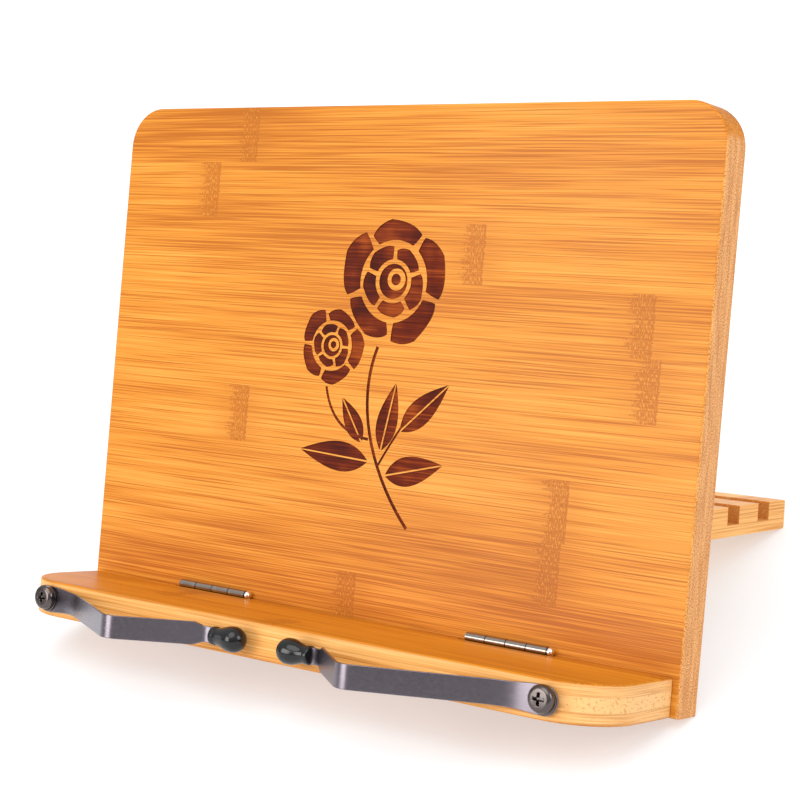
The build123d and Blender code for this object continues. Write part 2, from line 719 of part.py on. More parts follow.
# ---------------------------------------------------------------- page holders
strip_back = ledge_front + holder_gap
for side_name, side in (("left", -1), ("right", 1)):
    pivot_x = side * holder_offset
    inward = -side * board.x_dir
    seat = point(board, pivot_x, -strip_back, ledge_thickness / 2)
    plan = Plane(origin=seat, x_dir=inward, z_dir=side * board.z_dir)
    level = Plane(origin=seat, x_dir=inward, z_dir=side * board.y_dir)
    outward = 1 if plan.y_dir.dot(board.y_dir) < 0 else -1
    strip_end = tip_start + tip_grip
    with BuildPart() as holder_arm:
        with BuildSketch(plan.offset(-eye_radius)):
            with BuildLine() as bent:
                FilletPolyline(
                    (-eye_radius, outward * strip_thickness / 2),
                    (foot_run, outward * strip_thickness / 2),
                    (apex_run, outward * apex_reach),
                    (neck_run, outward * neck_reach),
                    (strip_end, outward * neck_reach),
                    radius=[foot_bend_radius, apex_bend_radius, neck_bend_radius],
                )
            trace(line_width=strip_thickness)
        extrude(amount=2 * eye_radius)
        silhouette_plane = Plane(
            origin=seat - board.y_dir * (apex_reach + 20),
            x_dir=inward,
            z_dir=side * board.y_dir,
        )
        with BuildSketch(silhouette_plane):
            Circle(eye_radius)
            half = strip_width / 2
            with BuildLine():
                Spline(
                    (0, eye_radius),
                    (flare_length, half),
                    tangents=[(1, 0), (1, 0)],
                )
                Line((flare_length, half), (neck_step, half))
                Line((neck_step, half), (neck_step + 3, neck_width / 2))
                Line((neck_step + 3, neck_width / 2), (strip_end + 1, neck_width / 2))
                Line((strip_end + 1, neck_width / 2), (strip_end + 1, -neck_width / 2))
                Line((strip_end + 1, -neck_width / 2), (neck_step + 3, -neck_width / 2))
                Line((neck_step + 3, -neck_width / 2), (neck_step, -half))
                Line((neck_step, -half), (flare_length, -half))
                Spline(
                    (flare_length, -half),
                    (0, -eye_radius),
                    tangents=[(-1, 0), (-1, 0)],
                )
                Line((0, -eye_radius), (0, eye_radius))
            make_face()
            Circle(holder_screw_radius + holder_screw_clearance, mode=Mode.SUBTRACT)
        extrude(amount=side * (apex_reach + 40), mode=Mode.INTERSECT)
    save(holder_arm.part, f"{side_name}_holder_arm")

    tip_plane = Plane(
        origin=point(level, tip_start, 0, -side * neck_reach),
        x_dir=inward,
        z_dir=level.z_dir,
    )
    with BuildPart() as holder_tip:
        with BuildSketch(tip_plane):
            with BuildLine():
                bulb = tip_length - tip_bulb_radius
                Line((0, 0), (0, tip_collar_radius - 0.5))
                Line((0, tip_collar_radius - 0.5), (0.5, tip_collar_radius))
                Line((0.5, tip_collar_radius), (2.0, tip_collar_radius))
                Spline(
                    (2.0, tip_collar_radius),
                    (bulb * 0.5, tip_waist_radius),
                    (bulb, tip_bulb_radius),
                    tangents=[(1, -0.35), (1, 0)],
                )
                ThreePointArc(
                    (bulb, tip_bulb_radius),
                    (bulb + tip_bulb_radius * math.sqrt(0.5), tip_bulb_radius * math.sqrt(0.5)),
                    (tip_length, 0),
                )
                Line((tip_length, 0), (0, 0))
            make_face()
        revolve(axis=Axis(tip_plane.origin, inward))
        with BuildSketch(Plane(tip_plane.origin, x_dir=board.z_dir, z_dir=inward)):
            Rectangle(neck_width + 0.1, strip_thickness + 0.1)
        extrude(amount=tip_grip + 0.1, mode=Mode.SUBTRACT)
    save(holder_tip.part, f"{side_name}_holder_tip")

    washer_plane = Plane(
        origin=seat - board.y_dir * (strip_thickness + 0.05),
        x_dir=board.x_dir,
        z_dir=-board.y_dir,
    )
    with BuildPart() as washer:
        with BuildSketch(washer_plane):
            Circle(washer_radius)
            Circle(holder_screw_radius + holder_screw_clearance, mode=Mode.SUBTRACT)
        extrude(amount=washer_thickness)
        rim = washer.edges().filter_by(GeomType.CIRCLE).sort_by(Axis(seat, -board.y_dir))[-2:]
        fillet(rim.sort_by(SortBy.RADIUS)[-1], washer_thickness * 0.4)
    save(washer.part, f"{side_name}_holder_washer")

    head_plane = washer_plane.offset(washer_thickness)
    with BuildPart() as holder_screw:
        with BuildSketch(head_plane):
            Circle(holder_head_radius)
        extrude(amount=holder_head_height)
        top_rim = holder_screw.edges().filter_by(GeomType.CIRCLE)
        fillet(top_rim.sort_by(Axis(seat, -board.y_dir))[-1], holder_head_height * 0.6)
        with BuildSketch(head_plane):
            Circle(holder_screw_radius)
        extrude(amount=-holder_screw_length)
        with BuildSketch(head_plane.offset(holder_head_height)):
            Rectangle(holder_head_radius * 1.1, holder_head_radius * 0.28)
            Rectangle(holder_head_radius * 0.28, holder_head_radius * 1.1)
        extrude(amount=-holder_head_height * 0.55, mode=Mode.SUBTRACT)
    save(holder_screw.part, f"{side_name}_holder_screw")

print(f"lean {math.degrees(lean):.2f} deg, prop {math.degrees(prop_angle):.2f} deg")
print(f"fold ratio {fold_ratio:.4f}, leg fold {leg_fold:.2f}, prop fold {prop_opening:.2f}")
for label, plane in (("board", board), ("ledge", ledge_axis), ("leg", leg), ("prop", prop_axis)):
    print(label, [round(v, 3) for v in plane.origin])
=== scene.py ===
"""Looks of a folding bamboo book stand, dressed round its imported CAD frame.

Every length is in metres, in the frame of the CAD model: +X to the reader's right, +Y to the back, +Z up.
"""

import json
import logging
import math
from dataclasses import dataclass
from enum import Enum

import bmesh
import bpy
from mathutils import Matrix, Quaternion, Vector


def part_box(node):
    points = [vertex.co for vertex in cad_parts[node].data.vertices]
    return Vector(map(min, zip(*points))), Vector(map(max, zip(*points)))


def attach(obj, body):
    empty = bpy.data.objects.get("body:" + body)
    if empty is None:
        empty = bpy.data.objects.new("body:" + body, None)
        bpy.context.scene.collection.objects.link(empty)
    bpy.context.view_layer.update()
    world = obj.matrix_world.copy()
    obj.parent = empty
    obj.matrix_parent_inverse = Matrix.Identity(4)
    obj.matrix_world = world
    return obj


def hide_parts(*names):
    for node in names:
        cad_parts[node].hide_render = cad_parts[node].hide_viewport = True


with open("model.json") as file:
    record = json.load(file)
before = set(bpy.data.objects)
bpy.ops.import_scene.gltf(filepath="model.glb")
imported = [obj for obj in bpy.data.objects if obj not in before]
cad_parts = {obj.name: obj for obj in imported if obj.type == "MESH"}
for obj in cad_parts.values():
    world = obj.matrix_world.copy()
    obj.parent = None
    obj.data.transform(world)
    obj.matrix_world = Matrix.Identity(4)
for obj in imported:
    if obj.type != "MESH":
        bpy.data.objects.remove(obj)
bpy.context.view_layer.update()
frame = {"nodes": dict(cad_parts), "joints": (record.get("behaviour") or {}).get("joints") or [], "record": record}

log = logging.getLogger("book_stand")
RIGHT = Vector((1.0, 0.0, 0.0))


# ---------------------------------------------------------------- places taken from the frame
def mount(name: str) -> dict:
    """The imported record's mount of that name.

    Args:
        name: the mount's name.

    Returns:
        The mount's entry, with pos_m and axis.
    """
    return next(m for m in frame["record"]["mounts"] if m["name"] == name)


def joint(name: str) -> dict:
    """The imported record's joint of that name.

    Args:
        name: the joint's name.

    Returns:
        The joint's entry, with pos_m, axis and range_deg.
    """
    return next(j for j in frame["joints"] if j["name"] == name)


@dataclass(frozen=True)
class LocalFrame:
    """A board's own directions: x to the right, z square to y and x.

    Attributes:
        origin: the frame's zero point.
        y_axis: the direction of local y, a unit vector square to X.
    """

    origin: Vector
    y_axis: Vector

    @property
    def z_axis(self) -> Vector:
        """The direction of local z."""
        return RIGHT.cross(self.y_axis)

    @property
    def tilt(self) -> float:
        """The turn about X that brings the world's Y onto local y, in radians."""
        return math.atan2(self.y_axis.z, self.y_axis.y)

    def point(self, x: float, y: float, z: float) -> Vector:
        """A point given in local lengths.

        Args:
            x: length to the right.
            y: length along local y.
            z: length along local z.

        Returns:
            The point in the stand's frame.
        """
        return self.origin + RIGHT * x + self.y_axis * y + self.z_axis * z

    def local(self, place: Vector) -> Vector:
        """A point in local lengths.

        Args:
            place: the point in the stand's frame.

        Returns:
            Its local x, y and z.
        """
        offset = place - self.origin
        return Vector((offset.x, offset.dot(self.y_axis), offset.dot(self.z_axis)))


def board_frame() -> LocalFrame:
    """The face board's frame: y to the back from its face, z up the board from its foot."""
    back = Vector(mount("page_rest")["axis"]).cross(RIGHT).normalized()
    face = min((v.co for v in frame["nodes"]["front_panel"].data.vertices), key=back.dot)
    heel = Vector(mount("board_heel")["pos_m"])
    foot = heel + back * (face - heel).dot(back)
    return LocalFrame(Vector((0.0, foot.y, foot.z)), back)


def leg_frame() -> LocalFrame:
    """The leg's frame: y along the rails to the rear, z out of their top."""
    normal = -Vector(mount("leg_foot")["axis"]).normalized()
    return LocalFrame(Vector(joint("leg_fold")["pos_m"]), normal.cross(RIGHT))


def prop_frame(board: LocalFrame) -> LocalFrame:
    """The prop's frame: y from its hinge to its nose, z towards the face board."""
    fold = joint("prop_fold")
    turn = Quaternion(RIGHT, -math.radians(fold["range_deg"][1]))
    return LocalFrame(Vector(fold["pos_m"]), (turn @ board.z_axis).normalized())


# ---------------------------------------------------------------- building node trees
Socket = bpy.types.NodeSocket


class Graph:
    """A node tree being built."""

    def __init__(self, tree: bpy.types.NodeTree) -> None:
        """Starts on a tree.

        Args:
            tree: the tree that nodes are added to.
        """
        self.tree = tree

    def add(self, kind: str, **settings: object) -> bpy.types.Node:
        """A new node.

        Args:
            kind: the node's type name.
            settings: attributes to set on the node.

        Returns:
            The node.
        """
        node = self.tree.nodes.new(kind)
        for name, value in settings.items():
            setattr(node, name, value)
        return node

    def feed(self, socket: Socket, value: object) -> None:
        """Joins a socket to another socket, or sets its constant.

        Args:
            socket: the input socket.
            value: an output socket, or a constant.
        """
        if isinstance(value, Socket):
            self.tree.links.new(value, socket)
        else:
            socket.default_value = value

    def fed(self, kind: str, values: tuple, **settings: object) -> Socket:
        """A new node's first output, with its inputs fed in order.

        Args:
            kind: the node's type name.
            values: sockets or constants.
            settings: attributes to set on the node.

        Returns:
            The output socket.
        """
        node = self.add(kind, **settings)
        for socket, value in zip(node.inputs, values):
            self.feed(socket, value)
        return node.outputs[0]

    def maths(self, operation: str, *values: object, clamp: bool = False) -> Socket:
        """A Math node's result.

        Args:
            operation: the operation's name.
            values: sockets or numbers.
            clamp: whether to keep the result between 0 and 1.

        Returns:
            The result socket.
        """
        return self.fed("ShaderNodeMath", values, operation=operation, use_clamp=clamp)

    def plus(self, first: object, second: object) -> Socket:
        """The sum of two sockets or numbers."""
        return self.maths("ADD", first, second)

    def sum_clamped(self, first: object, second: object) -> Socket:
        """The sum of two sockets or numbers, kept between 0 and 1."""
        return self.maths("ADD", first, second, clamp=True)

    def minus(self, first: object, second: object) -> Socket:
        """The first socket or number less the second."""
        return self.maths("SUBTRACT", first, second)

    def times(self, first: object, second: object) -> Socket:
        """The product of two sockets or numbers."""
        return self.maths("MULTIPLY", first, second)

    def times_plus(self, first: object, second: object, third: object) -> Socket:
        """The product of the first two sockets or numbers, with the third added."""
        return self.maths("MULTIPLY_ADD", first, second, third)

    def magnitude(self, value: object) -> Socket:
        """A value without its sign."""
        return self.maths("ABSOLUTE", value)

    def vector(self, operation: str, *values: object) -> Socket:
        """A Vector Math node's vector result.

        Args:
            operation: the operation's name.
            values: sockets or vectors.

        Returns:
            The result socket.
        """
        return self.fed("ShaderNodeVectorMath", values, operation=operation)

    def split(self, vector: Socket) -> tuple:
        """The three parts of a vector, as sockets."""
        node = self.add("ShaderNodeSeparateXYZ")
        self.feed(node.inputs[0], vector)
        return tuple(node.outputs)

    def joined(self, x: object, y: object, z: object) -> Socket:
        """A vector put together from three sockets or numbers."""
        return self.fed("ShaderNodeCombineXYZ", (x, y, z))

    def noise(self, vector: Socket, stretch: tuple, detail: float) -> Socket:
        """Noise with its own frequency in each direction.

        Args:
            vector: the place to read.
            stretch: cycles a metre along x, y and z.
            detail: octaves of finer noise.

        Returns:
            The noise value, about 0.5.
        """
        scaled = self.vector("MULTIPLY", vector, stretch)
        node = self.add("ShaderNodeTexNoise")
        node.inputs["Scale"].default_value = 1.0
        node.inputs["Detail"].default_value = detail
        self.feed(node.inputs["Vector"], scaled)
        return node.outputs[0]

    def step(self, value: object, low: float, high: float) -> Socket:
        """A smooth step from 0 at low to 1 at high.

        Args:
            value: the socket to read.
            low: where the result is 0.
            high: where the result is 1; it may be under low.

        Returns:
            The result socket.
        """
        node = self.add("ShaderNodeMapRange", interpolation_type="SMOOTHSTEP")
        self.feed(node.inputs[0], value)
        falling = low > high
        limits = (high, low, 1.0, 0.0) if falling else (low, high, 0.0, 1.0)
        for socket, limit in zip(list(node.inputs)[1:], limits):
            socket.default_value = limit
        return node.outputs[0]

    def ramp(self, value: object, stops: tuple, constant: bool = False) -> Socket:
        """A colour ramp.

        Args:
            value: the socket to read.
            stops: pairs of place and colour, in order.
            constant: whether the colour jumps at each stop.

        Returns:
            The colour socket.
        """
        node = self.add("ShaderNodeValToRGB")
        node.color_ramp.interpolation = "CONSTANT" if constant else "LINEAR"
        elements = node.color_ramp.elements
        while len(elements) < len(stops):
            elements.new(1.0)
        for element, (place, colour) in zip(elements, stops):
            element.position = place
            element.color = (*colour, 1.0)
        self.feed(node.inputs[0], value)
        return node.outputs[0]

    def mix(self, factor: object, first: object, second: object, blend: str = "MIX") -> Socket:
        """A colour mix.

        Args:
            factor: the share of the second colour.
            first: a colour socket or three numbers.
            second: a colour socket or three numbers.
            blend: the blend mode.

        Returns:
            The colour socket.
        """
        node = self.add("ShaderNodeMix", data_type="RGBA", blend_type=blend)
        self.feed(node.inputs[0], factor)
        for socket, colour in ((node.inputs[6], first), (node.inputs[7], second)):
            self.feed(socket, (*colour, 1.0) if isinstance(colour, tuple) else colour)
        return node.outputs[2]

    def chance(self, value: object) -> Socket:
        """A random number between 0 and 1 that goes with a value."""
        node = self.add("ShaderNodeTexWhiteNoise", noise_dimensions="1D")
        self.feed(node.inputs["W"], value)
        return node.outputs["Value"]

    def object_place(self) -> Socket:
        """The place on the piece, in the stand's frame at rest."""
        return self.add("ShaderNodeTexCoord").outputs["Object"]

    def bump(self, shader: bpy.types.Node, height: object, strength: float, distance: float) -> None:
        """Gives a shader a bump.

        Args:
            shader: the Principled node.
            height: the height socket.
            strength: how strongly the bump tells.
            distance: the height of the bump in metres.
        """
        node = self.add("ShaderNodeBump")
        node.inputs["Strength"].default_value = strength
        node.inputs["Distance"].default_value = distance
        self.feed(node.inputs["Height"], height)
        self.feed(shader.inputs["Normal"], node.outputs[0])

    def group(self, tree: bpy.types.NodeTree, **values: object) -> bpy.types.Node:
        """A group node with its inputs fed.

        Args:
            tree: the group.
            values: inputs by name, with spaces written as underscores.

        Returns:
            The group node.
        """
        node = self.add("ShaderNodeGroup", node_tree=tree)
        for name, value in values.items():
            self.feed(node.inputs[name.replace("_", " ")], value)
        return node


def new_group(name: str, inputs: dict, outputs: tuple) -> tuple:
    """A new shader node group.

    Args:
        name: the group's name.
        inputs: input names, each with its default, a number or a vector.
        outputs: names of the value outputs.

    Returns:
        The group, its graph, its input node and its output node.
    """
    tree = bpy.data.node_groups.new(name, "ShaderNodeTree")
    for label, default in inputs.items():
        kind = "NodeSocketVector" if isinstance(default, tuple) else "NodeSocketFloat"
        socket = tree.interface.new_socket(label, in_out="INPUT", socket_type=kind)
        socket.default_value = default
    for label in outputs:
        tree.interface.new_socket(label, in_out="OUTPUT", socket_type="NodeSocketFloat")
    graph = Graph(tree)
    return tree, graph, graph.add("NodeGroupInput"), graph.add("NodeGroupOutput")


# noise in bamboo: cycles a metre along the grain, across it and through the board, then octaves
CLOUDS = ((6.0, 55.0, 55.0), 2.0)
BUNDLES = ((9.0, 620.0, 620.0), 3.0)
FIBRES = ((14.0, 1500.0, 1500.0), 2.0)
DARK_LINES = ((15.0, 1900.0, 1900.0), 1.0)
RAGS = ((30.0, 900.0, 900.0), 2.0)
TICKS = ((2300.0, 620.0, 620.0), 1.0)

# how far each of them moves the tone
STRIP_SHARE = 0.18
CLOUD_SHARE = 0.70
BUNDLE_SHARE = 0.45
FIBRE_SHARE = 1.05
LINE_SHARE = -0.26

# how far each strip's noise is moved along and across, so that no two strips are alike
STRIP_MOVE_ALONG = 3.1
STRIP_MOVE_ACROSS = 0.37

# a knuckle, in metres along the grain from its middle, and how strongly its parts show
KNUCKLE_END = 0.0052
KNUCKLE_FULL = 0.0040
HALO_END = 0.020
RIM_PLACE = 0.0044
RIM_END = 0.0006
RIM_FULL = 0.0001
FEATHER_LEAST = 0.003
FEATHER_MORE = 0.014
FEATHER_SIDE = (0.001, -0.004)
BAND_SHARE = 0.80
HALO_SHARE = 0.28
RIM_SHARE = 0.75


def bamboo_group() -> bpy.types.NodeTree:
    """Pressed bamboo: strips of fibres, each with its own tone, with fine joints and knuckles.

    The vector runs along the grain in x, across the strips in y and through the board in z.

    Returns:
        The group, with outputs Tone, Knuckle, Speck, Joint and Height.
    """
    inputs = {"Vector": (0.0, 0.0, 0.0), "Strip": 0.024, "Shift": 0.0, "Place": 0.0, "Seed": 0.0}
    outputs = ("Tone", "Knuckle", "Speck", "Joint", "Height")
    tree, graph, source, result = new_group("bamboo_strips", inputs, outputs)
    place = source.outputs["Vector"]
    along, across, depth = graph.split(place)
    widths = graph.maths("DIVIDE", across, source.outputs["Strip"])
    strips = graph.plus(widths, source.outputs["Shift"])
    row = graph.maths("FLOOR", strips)
    within = graph.maths("FRACT", strips)
    own = graph.chance(graph.plus(row, source.outputs["Seed"]))
    moved = graph.joined(
        graph.times_plus(own, STRIP_MOVE_ALONG, along),
        graph.times_plus(own, STRIP_MOVE_ACROSS, across),
        depth,
    )
    cloud = graph.noise(moved, *CLOUDS)
    coarse = graph.noise(moved, *BUNDLES)
    fine = graph.noise(moved, *FIBRES)
    tone = graph.times(graph.minus(own, 0.5), STRIP_SHARE)
    for layer, strength in ((cloud, CLOUD_SHARE), (coarse, BUNDLE_SHARE), (fine, FIBRE_SHARE)):
        tone = graph.times_plus(graph.minus(layer, 0.5), strength, tone)
    tone = graph.plus(tone, 0.5)
    lines = graph.step(graph.noise(moved, *DARK_LINES), 0.54, 0.68)
    tone = graph.times_plus(lines, LINE_SHARE, tone)
    ragged = graph.noise(place, *RAGS)
    offset = graph.minus(along, source.outputs["Place"])
    feather = graph.times(graph.step(offset, *FEATHER_SIDE), FEATHER_MORE)
    feather = graph.plus(feather, FEATHER_LEAST)
    offset = graph.times_plus(graph.minus(ragged, 0.5), feather, offset)
    distance = graph.magnitude(offset)
    band = graph.step(distance, KNUCKLE_END, KNUCKLE_FULL)
    halo = graph.times(graph.step(distance, HALO_END, KNUCKLE_FULL), HALO_SHARE)
    crackle = graph.noise(place, *TICKS)
    ticks = graph.times_plus(graph.step(crackle, 0.40, 0.62), 0.60, 0.40)
    dark = graph.times(band, ticks)
    from_rim = graph.magnitude(graph.minus(offset, RIM_PLACE))
    rim = graph.times(graph.step(from_rim, RIM_END, RIM_FULL), RIM_SHARE)
    knuckle = graph.plus(graph.times(dark, BAND_SHARE), halo)
    knuckle = graph.sum_clamped(knuckle, rim)
    speck = graph.times(band, graph.step(crackle, 0.42, 0.34))
    edge = graph.magnitude(graph.minus(within, 0.5))
    seam = graph.step(edge, 0.488, 0.499)
    height = graph.times_plus(fine, 0.6, graph.times(coarse, 0.5))
    height = graph.times_plus(dark, -0.35, height)
    height = graph.times_plus(seam, -0.3, height)
    for name, socket in zip(outputs, (tone, knuckle, speck, seam, height)):
        graph.feed(result.inputs[name], socket)
    return tree


# noise of handling: cycles a metre along x, y and z, then octaves
SMEARS = ((18.0, 24.0, 18.0), 3.0)
DUST = ((1500.0, 1500.0, 1500.0), 1.0)
SCRATCHES = ((90.0, 4200.0, 2600.0), 1.0)


def handling_group() -> bpy.types.NodeTree:
    """Traces of handling: soft smears, fine dust specks and hairline scratches.

    Returns:
        The group, with outputs Smear, Dust and Scratch.
    """
    tree, graph, source, result = new_group(
        "handling", {"Vector": (0.0, 0.0, 0.0), "Size": 1.0}, ("Smear", "Dust", "Scratch")
    )
    place = graph.vector("SCALE", source.outputs["Vector"])
    graph.feed(place.node.inputs["Scale"], source.outputs["Size"])
    smear = graph.step(graph.noise(place, *SMEARS), 0.30, 0.72)
    dust = graph.step(graph.noise(place, *DUST), 0.70, 0.78)
    scratch = graph.step(graph.noise(place, *SCRATCHES), 0.66, 0.74)
    for name, socket in (("Smear", smear), ("Dust", dust), ("Scratch", scratch)):
        graph.feed(result.inputs[name], socket)
    return tree


BAMBOO = bamboo_group()
HANDLING = handling_group()


# ---------------------------------------------------------------- finishes
class Run(Enum):
    """Which local directions run along the grain, across the strips and through the board."""

    FACE = (0, 2, 1)
    SHELF = (0, 1, 2)
    RAIL = (1, 0, 2)


class Detail(Enum):
    """What is special about a bamboo piece besides its strips."""

    BURNT = "burnt"
    PLY_EDGE = "ply_edge"
    GROOVED = "grooved"
    PLAIN = "plain"


def new_material(name: str, colour: tuple) -> tuple:
    """A material with a Principled shader.

    Args:
        name: the material's name.
        colour: its plain colour, for the viewport.

    Returns:
        The material, its graph and its Principled node.
    """
    material = bpy.data.materials.new(name)
    material.use_nodes = True
    material.diffuse_color = (*colour, 1.0)
    graph = Graph(material.node_tree)
    return material, graph, material.node_tree.nodes["Principled BSDF"]


# the engraved part of the face: half its width, its ends, and where its floor lies behind the face
ENGRAVING_HALF_WIDTH = 0.10
ENGRAVING_LOW = 0.030
ENGRAVING_HIGH = 0.205
ENGRAVING_DEPTHS = (0.00008, 0.00020)
ENGRAVING_DEEPEST = 0.0006
SCORCH_FIBRES = ((30.0, 1300.0, 1.0), 3.0)
SCORCH_PATCHES = ((55.0, 55.0, 1.0), 2.0)
SCORCH_TONES = ((0.44, (0.045, 0.003, 0.0002)), (0.62, (0.130, 0.013, 0.0008)), (0.84, (0.380, 0.070, 0.006)))

# the sides of the ledge, and its rounded ends
SIDE_LINES = ((14.0, 14.0, 1300.0), 3.0)
SIDE_LAYERS = ((2.0, 2.0, 360.0), 1.0)
SIDE_TONES = ((0.36, (0.42, 0.13, 0.016)), (0.47, (0.76, 0.33, 0.075)), (0.62, (0.92, 0.50, 0.17)))
GLUE_PLACE = 0.19
GLUE_HALF = 0.00030
GLUE_TONE = (0.45, 0.18, 0.05)
ROUND_START = 0.024
ROUND_FULL = 0.008
ROUND_LINES = ((40.0, 40.0, 2300.0), 1.0)
ROUND_TONES = ((0.36, (0.62, 0.28, 0.085)), (0.60, (0.88, 0.48, 0.18)))
ROUND_DOTS = ((900.0, 900.0, 1300.0), 1.0)
CORE_END = 0.0032
CORE_FULL = 0.0024
CORE_TONE = (0.88, 0.50, 0.20)
DOT_TONE = (0.50, 0.20, 0.05)

# cut ends of the face board's fibres
END_DOTS = ((120.0, 2100.0, 1700.0), 1.0)
END_PATCHES = ((20.0, 420.0, 60.0), 1.0)
END_TONES = ((0.32, (0.42, 0.145, 0.028)), (0.48, (0.66, 0.27, 0.070)), (0.66, (0.82, 0.44, 0.165)))

# the inside of the leg's grooves, as lengths under the leg's top
GROOVE_START = (0.0002, 0.0012)
GROOVE_FLOOR = (0.0098, 0.0086)
SAWN_TONE = (0.50, 0.20, 0.055)

COAT_WEIGHT = 0.07


@dataclass(frozen=True)
class Bamboo:
    """Satin lacquered pressed bamboo.

    Attributes:
        name: the material's name.
        place: the frame of the piece that it is for.
        run: how the grain lies in that frame.
        strip: width of a strip.
        shift: how far the first joint is moved, in strips.
        seed: picks each strip's own tone.
        knuckles: x of the knuckle of each strip, upwards from the first, or none to scatter them.
        dark: colour of the dark fibres.
        middle: colour between.
        light: colour of the light fibres.
        detail: what else shows on the piece.
        lows: lowest corner of the piece in its frame.
        highs: highest corner of the piece in its frame.
        span: length over which knuckles are spread.
    """

    name: str
    place: LocalFrame
    run: Run
    strip: float
    shift: float
    seed: float
    knuckles: tuple
    dark: tuple
    middle: tuple
    light: tuple
    detail: Detail = Detail.PLAIN
    lows: tuple = (0.0, 0.0, 0.0)
    highs: tuple = (0.0, 0.0, 0.0)
    span: float = 0.30

    def knuckle_place(self, graph: Graph, across: Socket) -> Socket:
        """Where each strip's knuckle lies along the grain.

        Args:
            graph: the material's graph.
            across: the place across the strips.

        Returns:
            The place socket, in metres.
        """
        strips = graph.times_plus(across, 1.0 / self.strip, self.shift)
        row = graph.maths("FLOOR", strips)
        if self.knuckles:
            count = len(self.knuckles)
            places = [0.0] + [(i + 0.5) / count for i in range(1, count)]
            stops = tuple((place, (share,) * 3) for place, share in zip(places, self.knuckles))
            row_share = graph.maths("DIVIDE", graph.plus(row, 1.0), count)
            share = graph.ramp(row_share, stops, constant=True)
        else:
            share = graph.chance(graph.plus(row, self.seed + 7.3))
        return graph.times(graph.minus(share, 0.5), self.span)

    def burn(self, graph: Graph, local: tuple, colour: Socket) -> tuple:
        """Scorches the engraved floor, which lies a little behind the face.

        Args:
            graph: the material's graph.
            local: the place in the board's frame, as three sockets.
            colour: the wood's colour.

        Returns:
            The colour and the scorch mask.
        """
        right, back, up = local
        inside = graph.maths("LESS_THAN", graph.magnitude(right), ENGRAVING_HALF_WIDTH)
        low = graph.maths("GREATER_THAN", up, ENGRAVING_LOW)
        high = graph.maths("LESS_THAN", up, ENGRAVING_HIGH)
        shallow = graph.maths("LESS_THAN", back, ENGRAVING_DEEPEST)
        sunk = graph.times(graph.step(back, *ENGRAVING_DEPTHS), shallow)
        mask = graph.times(graph.times(inside, low), graph.times(high, sunk))
        flat = graph.joined(right, up, 0.0)
        fibres = graph.noise(flat, *SCORCH_FIBRES)
        patches = graph.noise(flat, *SCORCH_PATCHES)
        depth = graph.plus(graph.times(fibres, 0.55), graph.times(patches, 0.65))
        return graph.mix(mask, colour, graph.ramp(depth, SCORCH_TONES)), mask

    def ply_edge(self, graph: Graph, local: tuple, colour: Socket) -> Socket:
        """Pale sides with fine brown lines, under a richer top.

        Args:
            graph: the material's graph.
            local: the place in the ledge's frame, as three sockets.
            colour: the wood's colour.

        Returns:
            The colour.
        """
        right, _, up = local
        place = graph.joined(*local)
        thick = self.highs[2] - self.lows[2]
        side = graph.times(
            graph.step(up, self.lows[2] + 0.0002, self.lows[2] + 0.0010),
            graph.step(up, self.highs[2] - 0.0003, self.highs[2] - 0.0011),
        )
        lines = graph.noise(place, *SIDE_LINES)
        layers = graph.noise(place, *SIDE_LAYERS)
        value = graph.plus(graph.times(lines, 0.6), graph.times(layers, 0.4))
        pale = graph.ramp(value, SIDE_TONES)
        reach = graph.magnitude(right)
        ends = graph.step(reach, self.highs[0] - ROUND_START, self.highs[0] - ROUND_FULL)
        pale = graph.mix(ends, pale, self.cut_round(graph, local))
        middle = graph.magnitude(graph.minus(up, self.lows[2] + thick / 2))
        glue = graph.step(graph.magnitude(graph.minus(middle, thick * GLUE_PLACE)), GLUE_HALF, 0.0)
        pale = graph.mix(graph.times(glue, 0.35), pale, GLUE_TONE)
        return graph.mix(side, colour, pale)

    def end_grain(self, graph: Graph, local: tuple) -> Socket:
        """The dotted ends of cut fibres.

        Args:
            graph: the material's graph.
            local: the place in the board's frame, as three sockets.

        Returns:
            The colour.
        """
        place = graph.joined(*local)
        dots = graph.noise(place, *END_DOTS)
        patches = graph.noise(place, *END_PATCHES)
        return graph.ramp(graph.times_plus(graph.minus(patches, 0.5), 0.4, dots), END_TONES)

    def cut_round(self, graph: Graph, local: tuple) -> Socket:
        """The pale rounded ends of the ledge: fine lines above and below, dots in the middle layer.

        Args:
            graph: the material's graph.
            local: the place in the ledge's frame, as three sockets.

        Returns:
            The colour.
        """
        place = graph.joined(*local)
        pale = graph.ramp(graph.noise(place, *ROUND_LINES), ROUND_TONES)
        layer = graph.magnitude(graph.minus(local[2], (self.lows[2] + self.highs[2]) / 2))
        core = graph.step(layer, CORE_END, CORE_FULL)
        dots = graph.step(graph.noise(place, *ROUND_DOTS), 0.56, 0.66)
        light = graph.mix(core, pale, CORE_TONE)
        return graph.mix(graph.times(dots, graph.times_plus(core, 0.45, 0.12)), light, DOT_TONE)

    def sawn(self, graph: Graph, local: tuple, colour: Socket) -> Socket:
        """Browner faces inside the sawn grooves.

        Args:
            graph: the material's graph.
            local: the place in the leg's frame, as three sockets.
            colour: the wood's colour.

        Returns:
            The colour.
        """
        right, _, normal = local
        inside = graph.step(graph.magnitude(right), self.highs[0] - 0.00005, self.highs[0] - 0.0004)
        sunk = graph.step(normal, *(self.highs[2] - depth for depth in GROOVE_START))
        above = graph.step(normal, *(self.highs[2] - depth for depth in GROOVE_FLOOR))
        mask = graph.times(inside, graph.times(sunk, above))
        return graph.mix(graph.times(mask, 0.55), colour, SAWN_TONE)

